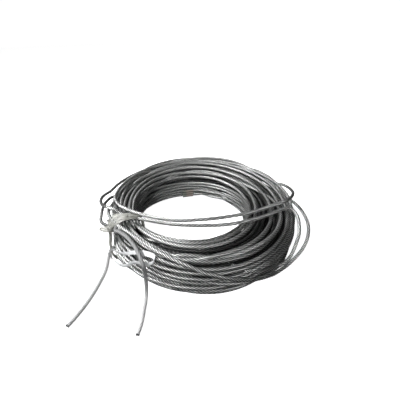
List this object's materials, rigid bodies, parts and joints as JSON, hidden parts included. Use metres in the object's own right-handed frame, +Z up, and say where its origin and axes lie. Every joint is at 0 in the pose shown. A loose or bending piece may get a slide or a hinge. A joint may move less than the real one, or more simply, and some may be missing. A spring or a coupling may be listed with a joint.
{
  "type": "coil of wire rope",
  "caption": "Hand-wound coil of thin galvanised wire rope lying flat, with loose turns across its bore, two bare tails and a film tie.",
  "frame": {"origin": "middle of the whole object's footprint, on the floor it lies on", "axes": "+Z up along the coil's axis, +X to the right and +Y away from the two rope tails, which lie towards -Y"},
  "size_m": [0.2528, 0.266, 0.0567],
  "materials": {
    "galvanised_wire": "dull galvanised, lightly oiled",
    "clear_film": "milky split film",
    "white_ribbon": "satin",
    "beige_tape": "matt"
  },
  "bodies": {
    "root": {"rope_coil": "galvanised_wire", "loose_turn_upper": "galvanised_wire", "loose_turn_lower": "galvanised_wire", "loose_turn_front": "galvanised_wire", "loose_turn_left_outer": "galvanised_wire", "loose_turn_left_inner": "galvanised_wire", "rope_tail_front": "galvanised_wire", "rope_tail_left": "galvanised_wire", "film_tie": "clear_film", "film_knot": "clear_film", "ribbon_loop": "white_ribbon", "tape_patch": "beige_tape"}
  },
  "joints": []
}
